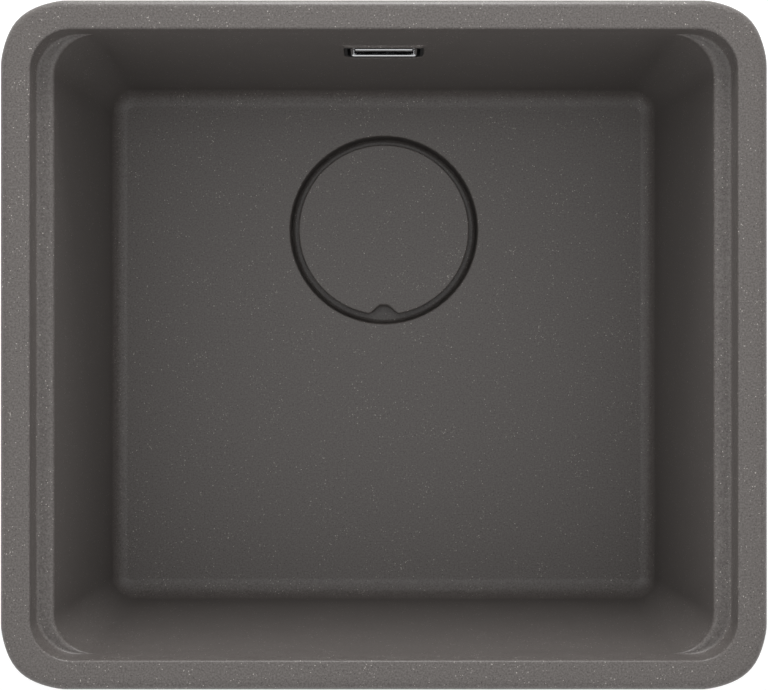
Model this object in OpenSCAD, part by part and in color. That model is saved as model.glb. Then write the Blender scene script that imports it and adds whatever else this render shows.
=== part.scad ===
// Undermount kitchen sink of moulded quartz composite, with its strainer waste,
// drain cover and overflow. Millimetres. The origin is the centre of the rim's top
// plane, with +X to the right, +Y to the back and +Z up.

/* [Rim] */
// Width of the rim, left to right
rim_w = 458; // [430:1:540]
// Depth of the rim, front to back
rim_d = 412; // [396:1:460]
// Thickness of the rim slab
rim_t = 24; // [20:1:30]
// Radius of the rim's outer corners
rim_corner_r = 38; // [34:1:60]
// Rounding of the rim's outer top edge
rim_edge_r = 5; // [1:0.5:6]
// Width of the rim's flat top
rim_face_w = 17.5; // [14:0.5:20]

/* [Bowl] */
// Radius of the mouth's corners
mouth_corner_r = 26; // [22:1:32]
// Radius of the bowl's corners below the ledges
bowl_corner_r = 24; // [22:1:30]
// Depth from the rim's top to the floor
bowl_depth = 200; // [170:1:215]
// Lean of the walls from upright, in degrees
draft_angle = 3; // [1:0.5:3.5]
// Thickness of the walls
wall_t = 9; // [7:0.5:11]
// Thickness of the floor
floor_t = 10; // [8:0.5:14]
// Radius where the walls meet the floor
floor_fillet_r = 10; // [8:1:14]
// Width of the ledge along the left and right walls
ledge_w = 11.6; // [8:0.2:14]
// Depth of the ledges below the rim's top
ledge_drop = 15; // [10:1:16]

/* [Drain] */
// Distance of the drain behind the sink's centre
drain_y = 81; // [70:1:90]
// Depth of the recess below the floor
recess_depth = 15; // [14:0.5:18]
// Diameter of the hole through the floor
outlet_d = 90; // [90:1:94]
// Diameter of the drain cover
cover_d = 120; // [116:1:132]
// Gap between the cover and the recess round it
cover_gap = 6; // [4:0.5:8]
// Thickness of the drain cover
cover_t = 8; // [6:0.5:9]
// Width of the finger notch in the cover's front edge
notch_w = 22.5; // [16:0.5:26]
// Depth of the finger notch
notch_depth = 7; // [5:0.5:8]

/* [Strainer waste] */
// Outer diameter of the steel flange in the recess
flange_d = 104; // [100:1:112]
// Thickness of the pressed steel
steel_t = 1.2; // [0.8:0.1:1.5]
// Depth of the flange's cup below its rim
cup_depth = 41.7; // [38:0.1:46]
// Diameter of the opening in the cup's seat
seat_d = 54; // [48:1:58]
// Outer diameter of the tail that the trap screws to
tail_d = 47.8; // [42:0.1:48]
// Length of the tail
tail_len = 24; // [18:1:40]
// Thickness of the tail's wall
tail_wall_t = 3.9; // [2.5:0.1:5]
// Diameter of the centre screw
screw_d = 6; // [5:0.5:6]

/* [Overflow] */
// Depth of the overflow's middle below the rim's top
overflow_drop = 68.5; // [62:0.5:76]
// Width of the hole in the back wall
overflow_w = 50; // [44:1:56]
// Height of the hole
overflow_h = 34; // [28:1:38]
// Width of the bars of the chrome trim
trim_bar_w = 3.8; // [3:0.1:4.5]
// Outer diameter of the ribbed hose
hose_d = 20; // [19:0.5:21]
// Bore of the ribbed hose
hose_bore_d = 14; // [12:0.5:14]
// Distance between two ribs of the hose
rib_pitch = 4; // [3.5:0.1:6]

/* [Fixing inserts] */
// Outer diameter of a threaded insert
insert_d = 8; // [7:0.5:9]
// Diameter of the thread in an insert
insert_thread_d = 6; // [5:0.5:6]
// Length of an insert
insert_len = 12; // [9:0.5:14]
// Distance between the end inserts of a side
insert_span = 240; // [160:5:280]

/* [Hidden] */
$fn = 96;

// Colours, as the pieces look
granite = [0.35, 0.335, 0.33];
steel = [0.76, 0.76, 0.75];
chrome = [0.86, 0.87, 0.88];
brass = [0.75, 0.6, 0.32];
black_plastic = [0.09, 0.09, 0.1];
grey_plastic = [0.55, 0.56, 0.57];
rubber = [0.13, 0.13, 0.13];

// Clearances and small overlaps of cuts
running_gap = 0.3;
press_gap = 0.05;
screw_gap = 0.1;
cut = 1;

// Bowl
slope = tan(draft_angle);
mouth_w = rim_w - 2 * rim_face_w;
mouth_d = rim_d - 2 * rim_face_w;
bowl_w = mouth_w - 2 * ledge_w;
floor_z = -bowl_depth;
under_z = floor_z - floor_t;
ledge_fillet_r = 2;
ledge_inset = 0.6;
least_foot = 0.5;
shell_top_z = -rim_t / 2;
recess_d = cover_d + 2 * cover_gap;
boss_margin = 12;
recess_z = floor_z - recess_depth;
boss_z = recess_z - floor_t;
boss_d = recess_d + 2 * boss_margin;

// Strainer waste
gasket_t = 1.5;
flange_gasket_inset = 1;
flange_gasket_d = flange_d - 2 * flange_gasket_inset;
body_gasket_t = 3;
flange_top_z = recess_z + gasket_t + steel_t;
cup_gap = 1.8;
cup_r = outlet_d / 2 - cup_gap;
seat_z = flange_top_z - cup_depth;
hub_depth = 11;
hub_floor_z = seat_z - hub_depth;
hub_base_t = 3;
hub_bottom_z = hub_floor_z - hub_base_t;
hub_r = 8;
hub_wall_t = 1.7;
hub_drop = 1;
hub_top_z = seat_z - hub_drop;
arm_w = 4;
arm_t = 5;
arm_count = 4;
body_top_z = boss_z - body_gasket_t;
body_flange_w = 9;
body_flange_d = outlet_d + 2 * body_flange_w;
body_flange_t = 5;
body_wall_t = 3;
body_r = outlet_d / 2 + body_wall_t;
cone_drop = 4;
cone_top_z = seat_z - cone_drop;
cone_len = 26;
tail_top_z = cone_top_z - cone_len;
tail_end_z = tail_top_z - tail_len;
tail_bore_d = tail_d - 2 * tail_wall_t;
body_hub_r = 8.5;
body_hub_gap = 4;
body_hub_top_z = hub_bottom_z - body_hub_gap;
body_hub_len = 10;
nut_flats = 10;
nut_t = 5;
screw_head_r = 5.5;
screw_head_t = 2.8;
screw_end = 1;
screw_tip_z = body_hub_top_z - body_hub_len - screw_end;
driver_slot_len = 6;
driver_slot_w = 1.2;
driver_turns = [0, 90];

// Strainer basket and its stem
basket_gap = 1;
basket_t = 1;
basket_r = cup_r - steel_t - basket_gap;
basket_rim_drop = 2;
basket_rim_z = flange_top_z - basket_rim_drop;
seal_t = 5;
seal_lap = 5;
seal_r = seat_d / 2 + seal_lap;
spacer_len = 5;
spacer_r = 6;
basket_floor_z = seat_z + seal_t + spacer_len;
basket_rim_w = 2.5;
basket_wall_r = basket_r - basket_rim_w + basket_t;
basket_hole_r = 2;
basket_rows = 3;
basket_row_first = 8;
basket_row_step = 6;
basket_row_r = 14;
basket_row_pitch = 7;
basket_slots = 24;
basket_slot_w = 2;
basket_slot_len = 16;
basket_slot_rise = 5;
stem_r = 3.5;
pin_r = 2.5;
knob_r = 8;
knob_len = 7;
knob_edge_r = 2;
knob_top_gap = 3;
cover_z = floor_z - cover_t;
knob_top_z = cover_z - knob_top_gap;
pin_end_gap = 0.8;
pin_end_z = hub_floor_z + screw_head_t + pin_end_gap;
clip_t = 1;
clip_len = 5;
clip_leaves = 4;
clip_leaf_angle = 60;
clip_reach = hub_r - hub_wall_t - running_gap;

// Drain cover
cover_edge_r = 1.5;
notch_r = (pow(notch_w / 2, 2) + pow(notch_depth, 2)) / (2 * notch_depth);
foot_r = 3;
foot_peg_r = 1.5;
foot_peg_len = 3;
feet_r = (flange_d / 2 + cup_r) / 2;
feet_count = 4;

// Overflow
overflow_z = -overflow_drop;
overflow_corner_r = 8;
pad_margin_w = 11;
pad_margin_h = 9;
pad_proud = 0.6;
overflow_wall_y = wall_inner_y(overflow_z);
pad_y = wall_inner_y(overflow_z + overflow_h / 2 + pad_margin_h) + wall_t + pad_proud;
overflow_gasket_t = 1.5;
overflow_gasket_margin = 6;
head_y = pad_y + overflow_gasket_t;
head_w = overflow_w + 2 * overflow_gasket_margin;
head_h = overflow_h + 2 * overflow_gasket_margin;
head_top_z = overflow_z + head_h / 2;
head_bottom_z = overflow_z - head_h / 2;
head_top_depth = 14;
head_wall_t = 2.5;
sleeve_t = 2;
sleeve_recess = 1;
trim_side_gap = 1.8;
trim_top_gap = 3.5;
trim_w = overflow_w - 2 * (sleeve_t + trim_side_gap);
trim_h = overflow_h - 2 * (sleeve_t + trim_top_gap);
trim_t = 4.2;
trim_corner_r = 3.3;
trim_side_w = 2.5;
trim_side_setback = 1.2;
trim_proud = 1.2;
trim_hole_corner_r = 2;
trim_y = overflow_wall_y - trim_proud;
trim_lug_h = 7;
trim_lug_lap = 1;
trim_lug_y = trim_y + trim_t / 2;
trim_lug_len = pad_y - trim_lug_y;

// Overflow hose, its spigots, nuts and seals
hose_r = hose_d / 2;
hose_bore_r = hose_bore_d / 2;
nut_len = 16;
nut_lap = 8;
nut_wall_t = 2.3;
nut_rib_h = 0.9;
nut_rib_w = 2;
nut_ribs = 12;
nut_core_r = hose_r + running_gap + nut_wall_t;
nut_gap = 1;
inlet_gap = 3;
spigot_len = 16;
spigot_end_z = head_bottom_z - spigot_len;
spigot_end_y = drain_y + body_flange_d / 2 + inlet_gap + nut_len - nut_lap;
spigot_lip = 1;
head_bottom_depth = 2 * (hose_r + spigot_lip);
hose_y = head_y + hose_r + spigot_lip;
hose_z = cone_top_z + hose_r + nut_gap;
hose_seal_t = 2;
hose_bend_r = 35;
hose_cuff_len = 9;
hose_valley = 1.4;
hose_sides = 8;
hose_bend_steps = 10;
hose_top_z = spigot_end_z - hose_seal_t;
hose_end_y = spigot_end_y + hose_seal_t;

// The hose's route: down, round one bend, and forward to the waste body
hose_drop_len = hose_top_z - hose_z - hose_bend_r;
hose_bend_len = PI * hose_bend_r / 2;
hose_run_len = hose_y - hose_bend_r - hose_end_y;
hose_len = hose_drop_len + hose_bend_len + hose_run_len;
hose_ribs = floor((hose_len - 2 * hose_cuff_len) / rib_pitch);
hose_half_rib = (hose_len - 2 * hose_cuff_len) / hose_ribs / 2;
hose_stations = concat(
  [[0, hose_r]],
  [for (j = [0 : 2 * hose_ribs])
    [hose_cuff_len + j * hose_half_rib, j % 2 == 0 ? hose_r : hose_r - hose_valley]],
  [[hose_len, hose_r]]
);
hose_bore_stations = concat(
  [[0, hose_bore_r]],
  [for (j = [0 : hose_bend_steps])
    [hose_drop_len + hose_bend_len * j / hose_bend_steps, hose_bore_r]],
  [[hose_len, hose_bore_r]]
);

// Fixing inserts
insert_x = rim_w / 2 - rim_face_w / 2;
insert_hole_extra = 1;
insert_rows = [-1, 0, 1];

// Height of a wall's inner face from the middle, front to back
function wall_inner_y(z) = mouth_d / 2 + slope * z;

// Radius that a fillet at the foot of a leaning wall can take within its corner
function foot_fillet(foot, r) = min(r, (foot - least_foot) / tan(45 - draft_angle / 2));

// Half of a leaning wall's section: reach is its half width at the rim's top plane
module wall_section(reach, low_z, high_z, fillet) {
  foot = reach + slope * low_z;
  r = foot_fillet(foot, fillet);
  centre_x = foot - r * tan(45 - draft_angle / 2);
  centre_z = low_z + r;
  union() {
    polygon([
      [0, low_z], [centre_x, low_z],
      [centre_x + r * cos(draft_angle), centre_z - r * sin(draft_angle)],
      [reach + slope * high_z, high_z], [0, high_z]
    ]);
    intersection() {
      translate([centre_x, centre_z]) circle(r = r);
      translate([centre_x, low_z]) square([r, r]);
    }
  }
}

// Half of the rim slab's section, with its rounded top edge
module rim_section(reach) {
  union() {
    translate([0, -rim_t]) square([reach, rim_t - rim_edge_r]);
    translate([0, -rim_edge_r]) square([reach - rim_edge_r, rim_edge_r]);
    intersection() {
      translate([reach - rim_edge_r, -rim_edge_r]) circle(r = rim_edge_r);
      translate([reach - rim_edge_r, -rim_edge_r]) square([rim_edge_r, rim_edge_r]);
    }
  }
}

// A block on a rounded rectangle: children() is the section from a corner's centre
// outwards, and it is carried along the four sides and round the four corners
module rounded_block(w, d, r, low_z, high_z) {
  side_x = w / 2 - r;
  side_y = d / 2 - r;
  translate([-side_x, -side_y, low_z]) cube([2 * side_x, 2 * side_y, high_z - low_z]);
  for (k = [0 : 3]) {
    out = k % 2 == 0 ? side_x : side_y;
    half = k % 2 == 0 ? side_y : side_x;
    rotate([0, 0, 90 * k]) translate([out, 0, 0]) rotate([90, 0, 0])
      linear_extrude(height = 2 * half, center = true) children();
    rotate([0, 0, 90 * k]) translate([out, half, 0]) rotate_extrude(angle = 90) children();
  }
}

// A tub with leaning walls, sized at the rim's top plane
module tub(w, d, r, low_z, high_z, fillet) {
  rounded_block(w, d, r, low_z, high_z) wall_section(r, low_z, high_z, fillet);
}

// A rounded rectangle in the XY plane, centred
module rounded_rect(w, h, r) {
  square([w - 2 * r, h], center = true);
  square([w, h - 2 * r], center = true);
  for (x = [-1, 1], y = [-1, 1])
    translate([x * (w / 2 - r), y * (h / 2 - r)]) circle(r = r);
}

// A plate upright across the back wall, from y_lo to y_hi, centred on the overflow
module overflow_plate(w, h, r, y_lo, y_hi) {
  translate([0, y_hi, overflow_z]) rotate([90, 0, 0])
    linear_extrude(height = y_hi - y_lo) rounded_rect(w, h, r);
}

// A flat ring standing on its lower face
module ring(r_in, r_out, h) {
  difference() {
    cylinder(r = r_out, h = h);
    translate([0, 0, -cut]) cylinder(r = r_in, h = h + 2 * cut);
  }
}

// The moulded bowl with its rim, ledges, drain recess and overflow hole
module bowl() color(granite)
  difference() {
    union() {
      rounded_block(rim_w, rim_d, rim_corner_r, -rim_t, 0) rim_section(rim_corner_r);
      tub(bowl_w + 2 * wall_t, mouth_d + 2 * wall_t, bowl_corner_r + wall_t,
          under_z, shell_top_z, floor_fillet_r + wall_t);
      translate([0, drain_y, boss_z]) cylinder(d = boss_d, h = recess_depth + floor_t / 2);
      overflow_plate(overflow_w + 2 * pad_margin_w, overflow_h + 2 * pad_margin_h,
                     overflow_corner_r, overflow_wall_y + wall_t / 2, pad_y);
    }
    tub(bowl_w, mouth_d, bowl_corner_r, floor_z, cut, floor_fillet_r);
    tub(mouth_w, mouth_d - ledge_inset, mouth_corner_r, -ledge_drop, cut, ledge_fillet_r);
    translate([0, drain_y, recess_z]) cylinder(d = recess_d, h = recess_depth + cut);
    translate([0, drain_y, boss_z - cut]) cylinder(d = outlet_d, h = floor_t + 2 * cut);
    overflow_plate(overflow_w, overflow_h, overflow_corner_r,
                   overflow_wall_y - wall_t, pad_y + cut);
    for (side = [-1, 1], row = insert_rows)
      translate([side * insert_x, row * insert_span / 2, -rim_t - cut])
        cylinder(r = insert_d / 2 + press_gap, h = insert_len + insert_hole_extra + cut);
  }

// Brass inserts moulded into the rim's underside, where the worktop clips are screwed
module fixing_inserts() color(brass)
  for (side = [-1, 1], row = insert_rows)
    translate([side * insert_x, row * insert_span / 2, -rim_t])
      ring(insert_thread_d / 2, insert_d / 2, insert_len);

// Cover of the same composite, level with the floor
module drain_cover() color(granite)
  translate([0, drain_y, cover_z])
    difference() {
      rotate_extrude()
        union() {
          square([cover_d / 2 - cover_edge_r, cover_t]);
          square([cover_d / 2, cover_t - cover_edge_r]);
          translate([cover_d / 2 - cover_edge_r, cover_t - cover_edge_r])
            circle(r = cover_edge_r);
        }
      translate([0, -cover_d / 2 + notch_depth - notch_r, -cut])
        cylinder(r = notch_r, h = cover_t + 2 * cut);
      for (k = [0 : feet_count - 1])
        rotate([0, 0, 45 + 360 / feet_count * k]) translate([feet_r, 0, -cut])
          cylinder(r = foot_peg_r + press_gap, h = foot_peg_len + cut);
    }

// Rubber feet that peg into the cover and stand on the steel flange
module cover_feet() color(rubber)
  for (k = [0 : feet_count - 1])
    translate([0, drain_y, 0]) rotate([0, 0, 45 + 360 / feet_count * k])
      translate([feet_r, 0, flange_top_z]) {
        cylinder(r = foot_r, h = cover_z - flange_top_z);
        cylinder(r = foot_peg_r, h = cover_z - flange_top_z + foot_peg_len - press_gap);
      }

// Pressed steel basket with rings of drain holes
module strainer_basket() color(steel)
  translate([0, drain_y, 0])
    difference() {
      rotate_extrude()
        polygon([
          [0, basket_floor_z], [basket_wall_r, basket_floor_z],
          [basket_wall_r, basket_rim_z - basket_t], [basket_r, basket_rim_z - basket_t],
          [basket_r, basket_rim_z], [basket_wall_r - basket_t, basket_rim_z],
          [basket_wall_r - basket_t, basket_floor_z + basket_t],
          [0, basket_floor_z + basket_t]
        ]);
      translate([0, 0, basket_floor_z - cut])
        cylinder(r = stem_r + press_gap, h = basket_t + 2 * cut);
      for (row = [0 : basket_rows - 1]) {
        count = basket_row_first + basket_row_step * row;
        for (k = [0 : count - 1])
          rotate([0, 0, 360 / count * k])
            translate([basket_row_r + basket_row_pitch * row, 0, basket_floor_z - cut])
              cylinder(r = basket_hole_r, h = basket_t + 2 * cut, $fn = 24);
      }
      for (k = [0 : basket_slots - 1])
        rotate([0, 0, 360 / basket_slots * k])
          translate([basket_wall_r - 2 * basket_t, -basket_slot_w / 2,
                     basket_floor_z + basket_slot_rise])
            cube([3 * basket_t, basket_slot_w, basket_slot_len]);
    }

// Rubber stopper under the basket, shut against the cup's seat
module basket_seal() color(rubber)
  translate([0, drain_y, seat_z]) ring(stem_r + press_gap, seal_r, seal_t);

// Turned stem: knob, neck, spacer and the pin that snaps into the hub
module basket_stem() color(steel)
  translate([0, drain_y, 0]) {
    translate([0, 0, knob_top_z - knob_len])
      rotate_extrude()
        union() {
          square([knob_r, knob_len - knob_edge_r]);
          square([knob_r - knob_edge_r, knob_len]);
          translate([knob_r - knob_edge_r, knob_len - knob_edge_r]) circle(r = knob_edge_r);
        }
    translate([0, 0, seat_z]) cylinder(r = stem_r, h = knob_top_z - knob_len - seat_z);
    translate([0, 0, basket_floor_z - spacer_len]) cylinder(r = spacer_r, h = spacer_len);
    translate([0, 0, pin_end_z]) cylinder(r = pin_r, h = seat_z - pin_end_z);
  }

// Spring clip: a collar on the pin with bowed leaves that grip inside the hub
module basket_clip() color(chrome)
  translate([0, drain_y, pin_end_z]) {
    ring(pin_r + press_gap, pin_r + clip_t, clip_len);
    for (k = [0 : clip_leaves - 1])
      rotate([0, 0, 360 / clip_leaves * k]) rotate_extrude(angle = clip_leaf_angle)
        polygon([
          [pin_r + clip_t / 2, 0], [pin_r + clip_t, 0],
          [clip_reach, clip_len / 2 - clip_t / 2], [clip_reach, clip_len / 2 + clip_t / 2],
          [pin_r + clip_t, clip_len], [pin_r + clip_t / 2, clip_len]
        ]);
  }

// Pressed steel flange: rim, cup, seat, skirt and the hub on its crossed arms
module waste_flange() color(steel)
  translate([0, drain_y, 0])
    difference() {
      union() {
        rotate_extrude()
          polygon([
            [cup_r - steel_t, flange_top_z], [flange_d / 2, flange_top_z],
            [flange_d / 2, flange_top_z - steel_t], [cup_r, flange_top_z - steel_t],
            [cup_r, seat_z - steel_t], [seat_d / 2 + steel_t, seat_z - steel_t],
            [seat_d / 2 + steel_t, hub_bottom_z], [seat_d / 2, hub_bottom_z],
            [seat_d / 2, seat_z], [cup_r - steel_t, seat_z]
          ]);
        translate([0, 0, hub_bottom_z]) cylinder(r = hub_r, h = hub_top_z - hub_bottom_z);
        for (k = [0 : arm_count - 1])
          rotate([0, 0, 360 / arm_count * (k + 0.5)])
            translate([0, -arm_w / 2, hub_bottom_z])
              cube([seat_d / 2 + steel_t / 2, arm_w, arm_t]);
      }
      translate([0, 0, hub_floor_z])
        cylinder(r = hub_r - hub_wall_t, h = hub_top_z - hub_floor_z + cut);
      translate([0, 0, hub_bottom_z - cut])
        cylinder(r = screw_d / 2 + screw_gap, h = hub_base_t + 2 * cut);
    }

// Flat rubber gasket between the recess and the steel flange
module flange_gasket() color(rubber)
  translate([0, drain_y, recess_z]) ring(outlet_d / 2, flange_gasket_d / 2, gasket_t);

// Rubber gasket between the boss under the floor and the waste body
module body_gasket() color(rubber)
  translate([0, drain_y, body_top_z]) ring(outlet_d / 2, body_flange_d / 2, body_gasket_t);

// Moulded waste body: flange, cup, cone, tail, the overflow's inlet and the nut's hub
module waste_body() color(grey_plastic)
  difference() {
    union() {
      translate([0, drain_y, 0]) {
        translate([0, 0, body_top_z - body_flange_t])
          cylinder(d = body_flange_d, h = body_flange_t);
        translate([0, 0, cone_top_z]) cylinder(r = body_r, h = body_top_z - cone_top_z);
        translate([0, 0, tail_top_z])
          cylinder(r1 = tail_d / 2, r2 = body_r, h = cone_top_z - tail_top_z);
        translate([0, 0, tail_end_z]) cylinder(d = tail_d, h = tail_len);
      }
      translate([0, drain_y + body_r - body_wall_t / 2, hose_z]) rotate([-90, 0, 0])
        cylinder(r = hose_r, h = spigot_end_y - drain_y - body_r + body_wall_t / 2);
    }
    translate([0, drain_y, 0]) {
      difference() {
        union() {
          translate([0, 0, cone_top_z]) cylinder(d = outlet_d, h = -cone_top_z);
          translate([0, 0, tail_top_z])
            cylinder(r1 = tail_bore_d / 2, r2 = outlet_d / 2, h = cone_top_z - tail_top_z);
          translate([0, 0, tail_end_z - cut]) cylinder(d = tail_bore_d, h = tail_len + 2 * cut);
        }
        translate([0, 0, body_hub_top_z - body_hub_len]) {
          cylinder(r = body_hub_r, h = body_hub_len);
          for (k = [0 : arm_count - 1])
            rotate([0, 0, 360 / arm_count * k]) translate([0, -arm_w / 2, 0])
              cube([outlet_d / 2, arm_w, body_hub_len]);
        }
      }
      translate([0, 0, body_hub_top_z - body_hub_len - cut])
        cylinder(r = screw_d / 2 + screw_gap, h = body_hub_len + 2 * cut);
      translate([0, 0, body_hub_top_z - body_hub_len - cut])
        cylinder(d = nut_flats / cos(30) + 2 * press_gap, h = nut_t + cut, $fn = 6);
    }
    translate([0, drain_y + outlet_d / 2 - body_wall_t, hose_z]) rotate([-90, 0, 0])
      cylinder(r = hose_bore_r, h = spigot_end_y - drain_y);
  }

// Steel screw that clamps the flange and the waste body together through the floor
module centre_screw() color(steel)
  translate([0, drain_y, 0])
    difference() {
      union() {
        translate([0, 0, hub_floor_z]) cylinder(r = screw_head_r, h = screw_head_t);
        translate([0, 0, screw_tip_z])
          cylinder(r = screw_d / 2, h = hub_floor_z - screw_tip_z);
      }
      for (turn = driver_turns)
        rotate([0, 0, turn])
          translate([-driver_slot_len / 2, -driver_slot_w / 2, hub_floor_z + screw_head_t / 2])
            cube([driver_slot_len, driver_slot_w, screw_head_t]);
    }

// Brass nut in the waste body's hub
module centre_nut() color(brass)
  translate([0, drain_y, body_hub_top_z - body_hub_len])
    difference() {
      cylinder(d = nut_flats / cos(30), h = nut_t, $fn = 6);
      translate([0, 0, -cut]) cylinder(r = screw_d / 2 + press_gap, h = nut_t + 2 * cut);
    }

// Chrome trim in the overflow: a frame whose sides are set back behind its two bars,
// with a lug on each side that grips the sleeve
module overflow_trim() color(chrome)
  difference() {
    union() {
      overflow_plate(trim_w, trim_h, trim_corner_r, trim_y, trim_y + trim_t);
      for (side = [-1, 1])
        translate([side * (trim_w + trim_side_gap - trim_lug_lap - press_gap) / 2,
                   trim_lug_y + trim_lug_len / 2, overflow_z])
          cube([trim_side_gap + trim_lug_lap - press_gap, trim_lug_len, trim_lug_h],
               center = true);
    }
    overflow_plate(trim_w - 2 * trim_side_w, trim_h - 2 * trim_bar_w,
                   trim_hole_corner_r, trim_y - cut, trim_y + trim_t + cut);
    translate([-trim_w / 2 - cut, trim_y - cut, overflow_z - trim_h / 2 + trim_bar_w])
      cube([trim_w + 2 * cut, trim_side_setback + cut, trim_h - 2 * trim_bar_w]);
  }

// Black sleeve that lines the overflow hole and is pressed into the overflow head
module overflow_sleeve() color(black_plastic)
  difference() {
    overflow_plate(overflow_w - 2 * press_gap, overflow_h - 2 * press_gap,
                   overflow_corner_r - press_gap, overflow_wall_y + sleeve_recess,
                   head_y + head_wall_t);
    overflow_plate(overflow_w - 2 * sleeve_t, overflow_h - 2 * sleeve_t,
                   overflow_corner_r - sleeve_t, overflow_wall_y, head_y + head_wall_t + cut);
  }

// Rubber gasket between the pad on the back wall and the overflow head
module overflow_gasket() color(rubber)
  difference() {
    overflow_plate(head_w, head_h, overflow_corner_r, pad_y, head_y);
    overflow_plate(overflow_w, overflow_h, overflow_corner_r, pad_y - cut, head_y + cut);
  }

// Hollow overflow head behind the wall, open to the sleeve, with the hose's spigot
module overflow_head() color(black_plastic)
  difference() {
    union() {
      translate([-head_w / 2, 0, 0]) rotate([90, 0, 90]) linear_extrude(height = head_w)
        polygon([
          [head_y, head_bottom_z], [head_y + head_bottom_depth, head_bottom_z],
          [head_y + head_top_depth, head_top_z], [head_y, head_top_z]
        ]);
      translate([0, hose_y, spigot_end_z])
        cylinder(r = hose_r, h = head_bottom_z - spigot_end_z + head_wall_t / 2);
    }
    translate([-head_w / 2 + head_wall_t, 0, 0]) rotate([90, 0, 90])
      linear_extrude(height = head_w - 2 * head_wall_t)
        polygon([
          [head_y + head_wall_t, head_bottom_z + head_wall_t],
          [head_y + head_bottom_depth - head_wall_t, head_bottom_z + head_wall_t],
          [head_y + head_top_depth - head_wall_t, head_top_z - head_wall_t],
          [head_y + head_wall_t, head_top_z - head_wall_t]
        ]);
    overflow_plate(overflow_w, overflow_h, overflow_corner_r, head_y - cut,
                   head_y + head_wall_t + cut);
    translate([0, hose_y, spigot_end_z - cut])
      cylinder(r = hose_bore_r, h = head_bottom_z - spigot_end_z + head_wall_t + 2 * cut);
  }

// Angle through which the hose has turned at a distance along its route
function hose_turn(s) = 90 * min(1, max(0, (s - hose_drop_len) / hose_bend_len));

// Point of the hose's middle line at that distance
function hose_point(s) =
  let (
    a = hose_turn(s),
    down = min(s, hose_drop_len),
    forward = max(0, s - hose_drop_len - hose_bend_len)
  )
  [0, hose_y - hose_bend_r * (1 - cos(a)) - forward,
   hose_top_z - down - hose_bend_r * sin(a)];

// Corners of the hose's outline at a station: [distance, radius]
function hose_ring(station) =
  let (a = hose_turn(station[0]), middle = hose_point(station[0]))
  [for (k = [0 : hose_sides - 1])
    let (turn = 360 / hose_sides * k)
    middle + station[1] * [cos(turn), sin(turn) * cos(a), -sin(turn) * sin(a)]];

// Triangles between two rings that start at points i and j
function ring_faces(i, j) = [
  for (k = [0 : hose_sides - 1])
    let (next = (k + 1) % hose_sides)
    each [[i + k, i + next, j + next], [i + k, j + next, j + k]]
];

// Ribbed hose from the overflow head to the waste body, with its bore
module overflow_hose() color(grey_plastic) {
  outer = [for (station = hose_stations) each hose_ring(station)];
  inner = [for (station = hose_bore_stations) each hose_ring(station)];
  first_inner = len(outer);
  last_outer = len(outer) - hose_sides;
  last_inner = len(outer) + len(inner) - hose_sides;
  polyhedron(
    points = concat(outer, inner),
    faces = concat(
      [for (i = [0 : len(hose_stations) - 2])
        each ring_faces(i * hose_sides, (i + 1) * hose_sides)],
      [for (i = [0 : len(hose_bore_stations) - 2])
        each ring_faces(first_inner + (i + 1) * hose_sides, first_inner + i * hose_sides)],
      ring_faces(first_inner, 0),
      ring_faces(last_outer, last_inner)
    )
  );
}

// Union nut with grip ribs, standing on its lower face
module hose_nut() color(grey_plastic)
  difference() {
    union() {
      cylinder(r = nut_core_r, h = nut_len);
      for (k = [0 : nut_ribs - 1])
        rotate([0, 0, 360 / nut_ribs * k])
          translate([nut_core_r - nut_wall_t / 2, -nut_rib_w / 2, 0])
            cube([nut_wall_t / 2 + nut_rib_h, nut_rib_w, nut_len]);
    }
    translate([0, 0, -cut]) cylinder(r = hose_r + running_gap, h = nut_len + 2 * cut);
  }

// Nut that holds the hose to the overflow head's spigot
module hose_nut_upper()
  translate([0, hose_y, spigot_end_z - nut_lap]) hose_nut();

// Nut that holds the hose to the waste body's inlet
module hose_nut_lower()
  translate([0, spigot_end_y + nut_lap, hose_z]) rotate([90, 0, 0]) hose_nut();

// Rubber washers between each spigot and the hose
module hose_seals() color(rubber) {
  translate([0, hose_y, hose_top_z]) ring(hose_bore_r, hose_r, hose_seal_t);
  translate([0, hose_end_y, hose_z]) rotate([90, 0, 0])
    ring(hose_bore_r, hose_r, hose_seal_t);
}

bowl();
fixing_inserts();
drain_cover();
cover_feet();
strainer_basket();
basket_seal();
basket_stem();
basket_clip();
waste_flange();
flange_gasket();
body_gasket();
waste_body();
centre_screw();
centre_nut();
overflow_trim();
overflow_sleeve();
overflow_gasket();
overflow_head();
overflow_hose();
hose_nut_upper();
hose_nut_lower();
hose_seals();
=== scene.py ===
import math

import bmesh
import bpy
import numpy as np
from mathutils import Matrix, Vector


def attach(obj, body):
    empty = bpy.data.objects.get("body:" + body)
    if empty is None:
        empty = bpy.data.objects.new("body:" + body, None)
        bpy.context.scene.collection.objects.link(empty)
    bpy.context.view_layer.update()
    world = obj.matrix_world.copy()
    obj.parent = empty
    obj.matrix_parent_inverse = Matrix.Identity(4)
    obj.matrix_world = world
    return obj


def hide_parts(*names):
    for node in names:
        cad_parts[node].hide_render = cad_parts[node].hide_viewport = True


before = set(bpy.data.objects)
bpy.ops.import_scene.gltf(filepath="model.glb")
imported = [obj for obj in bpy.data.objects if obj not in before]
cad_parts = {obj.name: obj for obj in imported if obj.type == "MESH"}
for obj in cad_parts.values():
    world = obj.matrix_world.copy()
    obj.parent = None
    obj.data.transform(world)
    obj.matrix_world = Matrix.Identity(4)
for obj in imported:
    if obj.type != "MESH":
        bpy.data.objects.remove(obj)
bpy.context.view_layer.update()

# The sink hangs by its rim with the rim's top plane at zero, +X to the right and +Y to
# the back. Shapes are worked out in millimetres and become metres in the mesh.

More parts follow.
